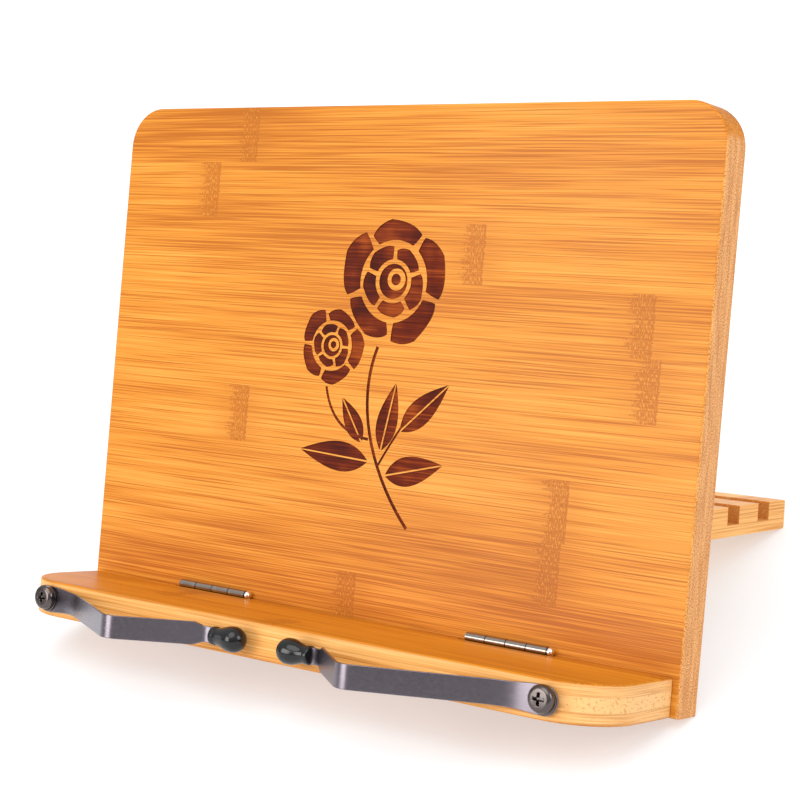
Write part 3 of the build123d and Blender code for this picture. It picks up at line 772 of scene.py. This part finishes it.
    def make(self) -> bpy.types.Material:
        """Builds the material.

        Returns:
            The material.
        """
        material, graph, shader = new_material(self.name, self.middle)
        place = graph.object_place()
        mapping = graph.add("ShaderNodeMapping", vector_type="TEXTURE")
        mapping.inputs["Location"].default_value = self.place.origin
        mapping.inputs["Rotation"].default_value = (self.place.tilt, 0.0, 0.0)
        graph.feed(mapping.inputs["Vector"], place)
        local = graph.split(mapping.outputs[0])
        grain, across, depth = (local[i] for i in self.run.value)
        strips = graph.group(
            BAMBOO,
            Vector=graph.joined(grain, across, depth),
            Strip=self.strip,
            Shift=self.shift,
            Place=self.knuckle_place(graph, across),
            Seed=self.seed,
        )
        tone, knuckle, speck, seam, height = strips.outputs
        colour = graph.ramp(tone, ((0.22, self.dark), (0.50, self.middle), (0.78, self.light)))
        brown = tuple(0.95 * c for c in self.dark)
        colour = graph.mix(graph.times(knuckle, 0.85), colour, brown)
        colour = graph.mix(graph.times(speck, 0.45), colour, self.light)
        colour = graph.mix(graph.times(seam, 0.35), colour, self.dark)
        scorch = None
        if self.detail is Detail.BURNT:
            reach = graph.magnitude(local[0])
            ends = graph.step(reach, self.highs[0] - 0.0009, self.highs[0] - 0.0002)
            colour = graph.mix(ends, colour, self.end_grain(graph, local))
            colour, scorch = self.burn(graph, local, colour)
        elif self.detail is Detail.PLY_EDGE:
            colour = self.ply_edge(graph, local, colour)
        elif self.detail is Detail.GROOVED:
            colour = self.sawn(graph, local, colour)
        handling = graph.group(HANDLING, Vector=place, Size=1.0)
        roughness = graph.times_plus(handling.outputs["Smear"], 0.08, 0.36)
        roughness = graph.times_plus(tone, 0.10, roughness)
        if scorch is not None:
            roughness = graph.times_plus(scorch, 0.30, roughness)
        graph.feed(shader.inputs["Base Color"], colour)
        graph.feed(shader.inputs["Roughness"], roughness)
        graph.bump(shader, height, 0.22, 0.00012)
        if scorch is None:
            shader.inputs["Coat Weight"].default_value = COAT_WEIGHT
        else:
            bare = graph.times_plus(scorch, -COAT_WEIGHT, COAT_WEIGHT)
            graph.feed(shader.inputs["Coat Weight"], bare)
        shader.inputs["Coat Roughness"].default_value = 0.16
        shader.inputs["Specular IOR Level"].default_value = 0.18
        return material


@dataclass(frozen=True)
class Metal:
    """Plated, coated or plain steel.

    Attributes:
        name: the material's name.
        colour: the reflected colour.
        worn: colour where the coat is rubbed.
        metallic: how far it is bare metal.
        roughness: its mean roughness.
        brushed: cycles a metre of the brush lines along x, y and z.
        relief: height of the brush lines' bump.
    """

    name: str
    colour: tuple
    worn: tuple
    metallic: float
    roughness: float
    brushed: tuple
    relief: float

    def make(self) -> bpy.types.Material:
        """Builds the material.

        Returns:
            The material.
        """
        material, graph, shader = new_material(self.name, self.colour)
        place = graph.object_place()
        handling = graph.group(HANDLING, Vector=place, Size=1.0)
        lines = graph.noise(place, self.brushed, 2.0)
        rubbed = graph.times(handling.outputs["Scratch"], 0.05)
        rubbed = graph.times_plus(graph.step(lines, 0.50, 0.85), 0.30, rubbed)
        graph.feed(shader.inputs["Base Color"], graph.mix(rubbed, self.colour, self.worn))
        rough = graph.times_plus(graph.minus(lines, 0.5), 0.10, self.roughness)
        rough = graph.times_plus(handling.outputs["Smear"], 0.05, rough)
        graph.feed(shader.inputs["Roughness"], rough)
        graph.bump(shader, lines, 0.12, self.relief)
        shader.inputs["Metallic"].default_value = self.metallic
        return material


@dataclass(frozen=True)
class Vinyl:
    """Thick black vinyl, dipped and glossy.

    Attributes:
        name: the material's name.
        colour: its colour.
        dusty: its colour under dust.
    """

    name: str
    colour: tuple
    dusty: tuple

    def make(self) -> bpy.types.Material:
        """Builds the material.

        Returns:
            The material.
        """
        material, graph, shader = new_material(self.name, self.colour)
        place = graph.object_place()
        handling = graph.group(HANDLING, Vector=place, Size=1.6)
        dust = graph.times(handling.outputs["Dust"], 0.35)
        graph.feed(shader.inputs["Base Color"], graph.mix(dust, self.colour, self.dusty))
        rough = graph.times_plus(handling.outputs["Smear"], 0.08, 0.12)
        graph.feed(shader.inputs["Roughness"], graph.times_plus(dust, 0.5, rough))
        graph.bump(shader, graph.noise(place, (210.0, 210.0, 210.0), 2.0), 0.20, 0.0003)
        shader.inputs["Specular IOR Level"].default_value = 0.45
        return material


# ---------------------------------------------------------------- making and dressing pieces
# faces flatter to each other than FLAT are joined, edges sharper than SHARP are rounded over, and
# corners nearer than MERGE metres become one
FLAT = math.radians(0.5)
SHARP = math.radians(38.0)
MERGE = 1e-6


def dress(node: str, material: bpy.types.Material) -> None:
    """Gives a CAD node a finish.

    Args:
        node: the node's name.
        material: its material.
    """
    mesh = frame["nodes"][node].data
    mesh.materials.clear()
    mesh.materials.append(material)
    log.info("dressed %s in %s", node, material.name)


def body_of(node: str) -> str:
    """The name of the CAD body that a node belongs to."""
    return next(body for body, nodes in frame["record"]["behaviour"]["bodies"].items() if node in nodes)


def finished(
    shape: bmesh.types.BMesh, name: str, node: str, material: bpy.types.Material, crease: float = 35.0
) -> bpy.types.Object:
    """Turns a shape into a piece that stands for a CAD node.

    Args:
        shape: the shape, in the stand's frame. It is freed.
        name: the piece's name.
        node: the CAD node that it replaces.
        material: its material.
        crease: faces that meet at more than this many degrees stay sharp.

    Returns:
        The piece.
    """
    mesh = bpy.data.meshes.new(name)
    shape.to_mesh(mesh)
    shape.free()
    for polygon in mesh.polygons:
        polygon.use_smooth = True
    mesh.set_sharp_from_angle(angle=math.radians(crease))
    mesh.materials.append(material)
    piece = bpy.data.objects.new(name, mesh)
    bpy.context.scene.collection.objects.link(piece)
    even = piece.modifiers.new("even_shading", "WEIGHTED_NORMAL")
    even.keep_sharp = True
    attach(piece, body_of(node))
    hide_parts(node)
    log.info("made %s for %s, %d faces", name, node, len(mesh.polygons))
    return piece


def eased(node: str, name: str, material: bpy.types.Material, width: float) -> bpy.types.Object:
    """A copy of a CAD node with its sharp edges rounded over.

    Args:
        node: the CAD node.
        name: the new piece's name.
        material: its material.
        width: width of the rounding.

    Returns:
        The piece.
    """
    shape = bmesh.new()
    shape.from_mesh(frame["nodes"][node].data)
    bmesh.ops.remove_doubles(shape, verts=shape.verts[:], dist=MERGE)
    bmesh.ops.dissolve_limit(shape, angle_limit=FLAT, verts=shape.verts[:], edges=shape.edges[:])
    edges = [e for e in shape.edges if len(e.link_faces) == 2 and e.calc_face_angle(0.0) > SHARP]
    bmesh.ops.bevel(
        shape, geom=edges, offset=width, offset_type="OFFSET", segments=2, profile=0.5,
        affect="EDGES", material=-1, clamp_overlap=True,
    )
    return finished(shape, name, node, material)


def turned(profile: list, steps: int, ring: bool = False) -> bmesh.types.BMesh:
    """A closed shape turned about Z.

    Args:
        profile: pairs of distance along the axis and radius, from pole to pole.
        steps: faces round.
        ring: whether the profile closes on itself instead of at two poles.

    Returns:
        The shape, standing on the origin.
    """
    shape = bmesh.new()
    points = [shape.verts.new((radius, 0.0, along)) for along, radius in profile]
    following = points[1:] + points[:1] if ring else points[1:]
    edges = [shape.edges.new(pair) for pair in zip(points, following)]
    bmesh.ops.spin(
        shape, geom=points + edges, cent=(0, 0, 0), axis=(0, 0, 1), dvec=(0, 0, 0),
        angle=math.tau, steps=steps, use_merge=True,
    )
    bmesh.ops.remove_doubles(shape, verts=shape.verts[:], dist=MERGE)
    bmesh.ops.recalc_face_normals(shape, faces=shape.faces[:])
    return shape


def seated(shape: bmesh.types.BMesh, seat: Vector, direction: Vector) -> bmesh.types.BMesh:
    """Brings a turned shape to its place.

    Args:
        shape: the shape, standing on the origin.
        seat: where its axis starts.
        direction: its axis, a unit vector.

    Returns:
        The same shape, in the stand's frame.
    """
    turn = Vector((0, 0, 1)).rotation_difference(direction).to_matrix().to_4x4()
    bmesh.ops.transform(shape, matrix=Matrix.Translation(seat) @ turn, verts=shape.verts[:])
    return shape


def arc(centre: tuple, radius: float, start: float, end: float, count: int) -> list:
    """Points round part of a circle in a profile.

    Args:
        centre: distance along the axis and radius of the circle's centre.
        radius: the circle's radius.
        start: first angle in degrees, 0 towards the far pole.
        end: last angle in degrees.
        count: number of points.

    Returns:
        Pairs of distance along the axis and radius.
    """
    angles = [math.radians(start + (end - start) * i / (count - 1)) for i in range(count)]
    return [(centre[0] + radius * math.cos(a), max(0.0, centre[1] + radius * math.sin(a))) for a in angles]


@dataclass
class Boards:
    """The bamboo boards: face board, page ledge, leg, prop and cleat.

    Attributes:
        board: the face board's frame.
        leg: the leg's frame.
        prop: the prop's frame.
        strip: width of the strips of the face board and the ledge.
        face_knuckles: where the face's knuckles lie, as shares of its width, upwards.
    """

    board: LocalFrame
    leg: LocalFrame
    prop: LocalFrame
    strip: float = 0.024
    face_knuckles: tuple = (0.30, 0.48, 0.80, 0.805, 0.26, 0.92, 0.905, 0.645, 0.17, 0.237, 0.816)

    def corners(self, node: str, place: LocalFrame) -> tuple:
        """A node's lowest and highest corners in a local frame.

        Args:
            node: the CAD node.
            place: the frame.

        Returns:
            The two corners, as tuples.
        """
        points = [place.local(v.co) for v in frame["nodes"][node].data.vertices]
        lows = tuple(min(p[i] for p in points) for i in range(3))
        highs = tuple(max(p[i] for p in points) for i in range(3))
        return lows, highs

    def face_board(self) -> None:
        """The face board, with its knuckles and its scorched engraving."""
        lows, highs = self.corners("front_panel", self.board)
        finish = Bamboo(
            "face_bamboo", self.board, Run.FACE, self.strip, 0.62, 3.0, self.face_knuckles,
            dark=(0.45, 0.125, 0.008), middle=(0.68, 0.245, 0.024), light=(0.79, 0.345, 0.058),
            detail=Detail.BURNT, lows=lows, highs=highs,
        )
        dress("front_panel", finish.make())

    def page_ledge(self) -> None:
        """The page ledge, darker on top and pale at its sides."""
        lows, highs = self.corners("page_ledge", self.board)
        finish = Bamboo(
            "ledge_bamboo", self.board, Run.SHELF, self.strip, 0.35, 11.0, (),
            dark=(0.42, 0.125, 0.006), middle=(0.60, 0.205, 0.010), light=(0.69, 0.268, 0.020),
            detail=Detail.PLY_EDGE, lows=lows, highs=highs,
        )
        dress("page_ledge", finish.make())

    def rest(self) -> None:
        """The leg, the prop and the cleat, of lighter bamboo."""
        lows, highs = self.corners("left_leg_rail", self.leg)
        reach = max(abs(lows[0]), abs(highs[0]))
        shades = {"dark": (0.62, 0.24, 0.04), "middle": (0.89, 0.43, 0.11), "light": (0.95, 0.56, 0.20)}
        grooved = {"detail": Detail.GROOVED, "lows": lows, "highs": (reach, highs[1], highs[2])}
        pale = {"dark": (0.55, 0.32, 0.12), "middle": (0.78, 0.52, 0.25), "light": (0.88, 0.66, 0.38)}
        rails = ("left_leg_rail", "right_leg_rail")
        cross = ("rear_cross_rail", "front_cross_rail")
        finishes = (
            (rails, "rail_bamboo", self.leg, Run.RAIL, 0.018, 0.4, 21.0, {**shades, **grooved}),
            (cross, "cross_rail_bamboo", self.leg, Run.SHELF, 0.018, 0.1, 31.0, {**shades, **grooved}),
            (("prop_board",), "prop_bamboo", self.prop, Run.SHELF, 0.020, 0.2, 41.0, shades),
            (("cleat",), "cleat_bamboo", self.board, Run.FACE, 0.020, 0.7, 51.0, shades),
            (("leg_dowels",), "dowel_birch", self.leg, Run.SHELF, 0.008, 0.0, 61.0, pale),
        )
        for nodes, name, place, run, strip, shift, seed, looks in finishes:
            material = Bamboo(name, place, run, strip, shift, seed, (), **looks).make()
            for node in nodes:
                dress(node, material)


@dataclass
class Hinges:
    """The six butt hinges with their pins and screws.

    Attributes:
        nickel: finish of the leaves, its colour darkened to a brown grey as a painted reflection of the dark wood.
        polished: finish of the pins.
        zinc: finish of the screws.
        easing: rounding of the leaves' edges.
        pin_radius: radius of a pin inside its knuckles.
        head_length: length of a pin's head.
        head_radius: radius of a pin's head.
        collar: length of the plain part of a pin's head.
        dome: height of the head's dome as a share of its radius.
    """

    # the leaves' colour is darkened to a brown grey: a painted reflection of the dark wood on the nickel
    nickel: Metal = Metal("nickel_with_painted_reflection", (0.34, 0.30, 0.27), (0.62, 0.58, 0.54), 1.0, 0.15,
                          (900.0, 240.0, 240.0), 0.00003)
    polished: Metal = Metal("polished_pin", (0.88, 0.84, 0.80), (0.95, 0.93, 0.90), 1.0, 0.16,
                            (300.0, 300.0, 300.0), 0.00002)
    zinc: Metal = Metal("zinc_plate", (0.62, 0.62, 0.60), (0.80, 0.80, 0.78), 1.0, 0.27,
                        (300.0, 300.0, 300.0), 0.00003)
    easing: float = 0.00014
    pin_radius: float = 0.00085
    head_length: float = 0.0021
    head_radius: float = 0.0019
    collar: float = 0.0007
    dome: float = 0.72

    def pin(self, side: str, hinge: str, material: bpy.types.Material) -> None:
        """A hinge pin with a low dome, a small collar and a bevelled foot.

        Args:
            side: left or right.
            hinge: ledge, leg or prop.
            material: its material.
        """
        node = f"{side}_{hinge}_hinge_pin"
        low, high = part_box(node)
        middle = (low + high) / 2
        length = high.x - low.x
        shoulder = length - self.head_length
        brow = shoulder + self.collar
        dome = arc((brow, 0.0), self.head_radius, 90.0, 0.0, 9)
        squashed = [(brow + (along - brow) * self.dome, radius) for along, radius in dome]
        profile = [(0.0, 0.0), (0.0, self.pin_radius - 0.0002), (0.0002, self.pin_radius)]
        profile += [(shoulder, self.pin_radius), (shoulder, self.head_radius - 0.0002)]
        profile += [(shoulder + 0.0002, self.head_radius), *squashed]
        seat = Vector((low.x, middle.y, middle.z))
        finished(seated(turned(profile, 40), seat, RIGHT), f"{side}_{hinge}_pin", node, material)

    def build(self) -> None:
        """Makes and dresses every hinge piece."""
        nickel = self.nickel.make()
        polished = self.polished.make()
        zinc = self.zinc.make()
        for hinge in ("ledge", "leg", "prop"):
            for side in ("left", "right"):
                for leaf in ("fixed", "moving"):
                    node = f"{side}_{hinge}_hinge_{leaf}_leaf"
                    eased(node, f"{side}_{hinge}_{leaf}_leaf", nickel, self.easing)
                self.pin(side, hinge, polished)
            for leaf in ("fixed", "moving"):
                dress(f"{hinge}_hinge_{leaf}_screws", zinc)
        dress("cleat_screws", zinc)


@dataclass
class PageHolders:
    """The two bent spring-steel page holders with their tips, screws and washers.

    Attributes:
        board: the face board's frame.
        strip: finish of the steel strips.
        coated: finish of the screws and washers.
        soft: finish of the tips.
        easing: rounding of the strips' edges.
        collar: radius of a tip's rolled collar.
        waist: radius of a tip between collar and bulb.
        bulb: radius of a tip's bulb.
        lip: rounding of the collar's outer end.
        mouth: radius of the flat in the collar's end.
        collar_end: where the collar turns down to the waist.
        collar_turn: rounding of that turn.
        waist_start: where the waist begins.
        hole: radius of a washer's hole.
        break_edge: width of the small bevels of screws and washers.
        recess_half: half width of a screw's cross recess.
        recess_reach: reach of the recess from the axis.
        recess_depth: depth of the recess.
        recess_wall: width over which the recess's side walls fall.
        recess_end: length over which its ends fall.
        crown: how far the middle of a screw's head stands above its edge.
    """

    board: LocalFrame
    strip: Metal = Metal("gunmetal", (0.205, 0.178, 0.205), (0.30, 0.27, 0.30), 1.0, 0.27,
                         (60.0, 900.0, 900.0), 0.00002)
    coated: Metal = Metal("black_screw", (0.120, 0.100, 0.095), (0.30, 0.25, 0.22), 1.0, 0.22,
                          (260.0, 260.0, 260.0), 0.00003)
    soft: Vinyl = Vinyl("black_vinyl", (0.006, 0.006, 0.007), (0.07, 0.066, 0.062))
    easing: float = 0.00026
    collar: float = 0.0037
    waist: float = 0.00345
    bulb: float = 0.0051
    lip: float = 0.0006
    mouth: float = 0.0030
    collar_end: float = 0.0019
    collar_turn: float = 0.0005
    waist_start: float = 0.0023
    hole: float = 0.00208
    break_edge: float = 0.0001
    recess_half: float = 0.0006
    recess_reach: float = 0.0024
    recess_depth: float = 0.0017
    recess_wall: float = 0.00018
    recess_end: float = 0.0009
    crown: float = 0.00012

    def points(self, node: str) -> tuple:
        """A node's vertices as seen along the face's front direction.

        Args:
            node: the CAD node.

        Returns:
            The front direction, the node's middle, and pairs of distance
            forward of the middle and distance from the axis through it.
        """
        front = -self.board.y_axis
        middle = sum(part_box(node), Vector()) / 2
        offsets = [v.co - middle for v in frame["nodes"][node].data.vertices]
        return front, middle, [(p.dot(front), (p - front * p.dot(front)).length) for p in offsets]

    def tip(self, side: str, material: bpy.types.Material) -> None:
        """A dipped tip: a rolled collar, a waist and a round bulb.

        Args:
            side: left or right.
            material: its material.
        """
        node = f"{side}_holder_tip"
        low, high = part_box(node)
        middle = (low + high) / 2
        length = high.x - low.x
        inward = 1.0 if side == "left" else -1.0
        centre = length - self.bulb
        profile = [(0.0, 0.0), (0.0, self.mouth)]
        profile += arc((self.lip, self.collar - self.lip), self.lip, 180.0, 90.0, 5)
        profile += arc((self.collar_end, self.collar - self.collar_turn), self.collar_turn, 90.0, 30.0, 4)
        steps = 10
        for i in range(1, steps):
            share = i / steps
            along = self.waist_start + (centre * 0.94 - self.waist_start) * share
            rise = share * share * (3 - 2 * share)
            profile.append((along, self.waist + (self.bulb - self.waist) * rise))
        profile += arc((centre, 0.0), self.bulb, 93.0, 0.0, 14)
        seat = Vector((low.x if inward > 0 else high.x, middle.y, middle.z))
        shape = seated(turned(profile, 56), seat, RIGHT * inward)
        finished(shape, f"{side}_tip", node, material, crease=50.0)

    def washer(self, side: str, material: bpy.types.Material) -> None:
        """A pressed washer with a raised rim.

        Args:
            side: left or right.
            material: its material.
        """
        node = f"{side}_holder_washer"
        front, middle, points = self.points(node)
        foot = min(along for along, _ in points)
        high = max(along for along, _ in points) - foot
        outer = max(radius for _, radius in points)
        rim = high * 0.42
        bed = high * 0.72
        profile = [(0.0, self.hole), (0.0, outer - self.break_edge), (self.break_edge, outer)]
        profile += [(high - rim, outer), (high - rim * 0.3, outer - rim * 0.3), (high, outer - rim)]
        profile += [(high, outer - rim - 0.0004), (bed, outer - rim - 0.0007), (bed, self.hole)]
        shape = seated(turned(profile, 56, ring=True), middle + front * foot, front)
        finished(shape, f"{side}_washer", node, material)

    def screw(self, side: str, material: bpy.types.Material) -> None:
        """A pan-head screw with a cross recess.

        Args:
            side: left or right.
            material: its material.
        """
        node = f"{side}_holder_screw"
        front, middle, points = self.points(node)
        foot = min(along for along, _ in points)
        length = max(along for along, _ in points) - foot
        head = max(radius for _, radius in points)
        shank = max(radius for along, radius in points if along - foot < length / 2)
        under = min(along - foot for along, radius in points if radius > shank * 1.2)
        height = length - under
        brow = height * 0.62
        flat = head - brow
        rings = 24
        profile = [(0.0, 0.0), (0.0, shank), (under, shank)]
        profile += [(under, head - self.break_edge), (under + self.break_edge, head)]
        profile += arc((length - brow, flat), brow, 90.0, 0.0, 11)
        profile += [(length + self.crown * i / rings, flat * (1 - i / rings)) for i in range(1, rings + 1)]
        shape = turned(profile, 96)
        for vert in shape.verts:
            if vert.co.z < length - height * 0.5:
                continue
            near, far = sorted((abs(vert.co.x), abs(vert.co.y)))
            side_share = min(1.0, max(0.0, (self.recess_half - near) / self.recess_wall))
            end_share = min(1.0, max(0.0, (self.recess_reach - far) / self.recess_end))
            vert.co.z -= self.recess_depth * side_share * end_share
        seated(shape, middle + front * foot, front)
        finished(shape, f"{side}_screw", node, material, crease=50.0)

    def build(self) -> None:
        """Makes and dresses both page holders."""
        gunmetal = self.strip.make()
        black = self.coated.make()
        vinyl = self.soft.make()
        for side in ("left", "right"):
            eased(f"{side}_holder_arm", f"{side}_arm", gunmetal, self.easing)
            self.screw(side, black)
            self.washer(side, black)
            self.tip(side, vinyl)


# ---------------------------------------------------------------- studio
@dataclass
class Studio:
    """The floor, the lights and the camera.

    Attributes:
        board: the face board's frame.
        eye: where the camera stands, in the face board's frame.
        look: the direction it looks in.
        roll: its turn about that direction in degrees.
        sensor: width of its sensor in millimetres.
        focal: its focal length in millimetres.
        floor_tones: the floor's darkest and lightest tones.
        floor_glow: colour of the floor's own faint light.
        floor_glow_strength: strength of that light.
        sky_tones: tones of the surroundings, from below to above.
        sky_strength: strength of the surroundings.
        sun_power: strength of the overhead sun.
        sun_spread: width of the overhead sun in degrees.
        sun_way: direction the overhead sun shines in.
        soft_boxes: name, place, target, size, power and colour of each soft light.
    """

    board: LocalFrame
    eye: tuple = (0.46662, -0.61107, 0.11851)
    look: tuple = (-0.59553, 0.74788, -0.29330)
    roll: float = 7.4986
    sensor: float = 36.0
    focal: float = 84.85
    floor_tones: tuple = ((0.3, (0.49, 0.50, 0.52)), (0.7, (0.51, 0.52, 0.54)))
    floor_glow: tuple = (0.965, 0.995, 1.0)
    floor_glow_strength: float = 0.49
    sky_tones: tuple = ((0.0, (0.34, 0.34, 0.35)), (0.30, (0.50, 0.50, 0.50)), (0.75, (0.86, 0.86, 0.85)))
    sky_strength: float = 0.92
    sun_power: float = 1.30
    sun_spread: float = 50.0
    sun_way: tuple = (-0.10, 0.45, -1.0)
    soft_boxes: tuple = (
        ("key", (-0.7, -1.7, 0.75), (0.0, 0.0, 0.10), 1.0, 17.0, (1.0, 0.985, 0.96)),
        ("side", (1.9, 0.1, 0.9), (0.1, 0.0, 0.08), 1.0, 12.0, (1.0, 0.99, 0.98)),
        ("rear", (-0.8, 1.6, 1.1), (0.0, 0.0, 0.1), 1.2, 10.0, (1.0, 1.0, 1.0)),
    )

    def floor(self) -> None:
        """A wide, pale, faintly mottled floor just under the stand."""
        shape = bmesh.new()
        bmesh.ops.create_grid(shape, x_segments=4, y_segments=4, size=12.0)
        mesh = bpy.data.meshes.new("floor")
        shape.to_mesh(mesh)
        shape.free()
        material, graph, shader = new_material("pale_floor", (0.9, 0.9, 0.9))
        cloud = graph.noise(graph.object_place(), (3.0, 3.0, 3.0), 2.0)
        graph.feed(shader.inputs["Base Color"], graph.ramp(cloud, self.floor_tones))
        shader.inputs["Emission Color"].default_value = (*self.floor_glow, 1.0)
        shader.inputs["Emission Strength"].default_value = self.floor_glow_strength
        shader.inputs["Roughness"].default_value = 0.75
        shader.inputs["Specular IOR Level"].default_value = 0.2
        mesh.materials.append(material)
        floor = bpy.data.objects.new("floor", mesh)
        bpy.context.scene.collection.objects.link(floor)

    def lamp(self, name: str, place: tuple, target: tuple, size: float, power: float, tint: tuple) -> None:
        """A square soft light.

        Args:
            name: its name.
            place: where it stands.
            target: what it points at.
            size: length of its side.
            power: its power in watts.
            tint: its colour.
        """
        data = bpy.data.lights.new(name, "AREA")
        data.shape = "SQUARE"
        data.size = size
        data.energy = power
        data.color = tint
        lamp = bpy.data.objects.new(name, data)
        lamp.location = place
        lamp.rotation_mode = "QUATERNION"
        lamp.rotation_quaternion = (Vector(target) - Vector(place)).to_track_quat("-Z", "Y")
        bpy.context.scene.collection.objects.link(lamp)

    def lights(self) -> None:
        """White surroundings, a broad overhead sun and soft boxes."""
        world = bpy.data.worlds.new("studio")
        world.use_nodes = True
        graph = Graph(world.node_tree)
        background = world.node_tree.nodes["Background"]
        coordinates = graph.add("ShaderNodeTexCoord")
        height = graph.split(coordinates.outputs["Generated"])[2]
        graph.feed(background.inputs["Color"], graph.ramp(height, self.sky_tones))
        background.inputs["Strength"].default_value = self.sky_strength
        bpy.context.scene.world = world
        sun = bpy.data.lights.new("overhead", "SUN")
        sun.energy = self.sun_power
        sun.angle = math.radians(self.sun_spread)
        lamp = bpy.data.objects.new("overhead", sun)
        lamp.rotation_mode = "QUATERNION"
        lamp.rotation_quaternion = Vector(self.sun_way).to_track_quat("-Z", "Y")
        bpy.context.scene.collection.objects.link(lamp)
        for soft_box in self.soft_boxes:
            self.lamp(*soft_box)

    def camera(self) -> None:
        """A short telephoto camera from the reader's right, looking down a little."""
        data = bpy.data.cameras.new("camera")
        data.sensor_width = self.sensor
        data.lens = self.focal
        camera = bpy.data.objects.new("camera", data)
        camera.location = self.board.point(*self.eye)
        camera.rotation_mode = "QUATERNION"
        look = Vector(self.look).normalized()
        turn = Quaternion(look, math.radians(self.roll))
        camera.rotation_quaternion = turn @ look.to_track_quat("-Z", "Y")
        bpy.context.scene.collection.objects.link(camera)
        bpy.context.scene.camera = camera

    def build(self) -> None:
        """Sets the studio up."""
        self.floor()
        self.lights()
        self.camera()
        bpy.context.scene.view_settings.view_transform = "Standard"


def main() -> None:
    """Builds the looks."""
    logging.basicConfig(level=logging.INFO, format="%(name)s: %(message)s")
    board = board_frame()
    Studio(board).build()
    boards = Boards(board, leg_frame(), prop_frame(board))
    boards.face_board()
    boards.page_ledge()
    boards.rest()
    Hinges().build()
    PageHolders(board).build()


if __name__ == "__main__":
    main()
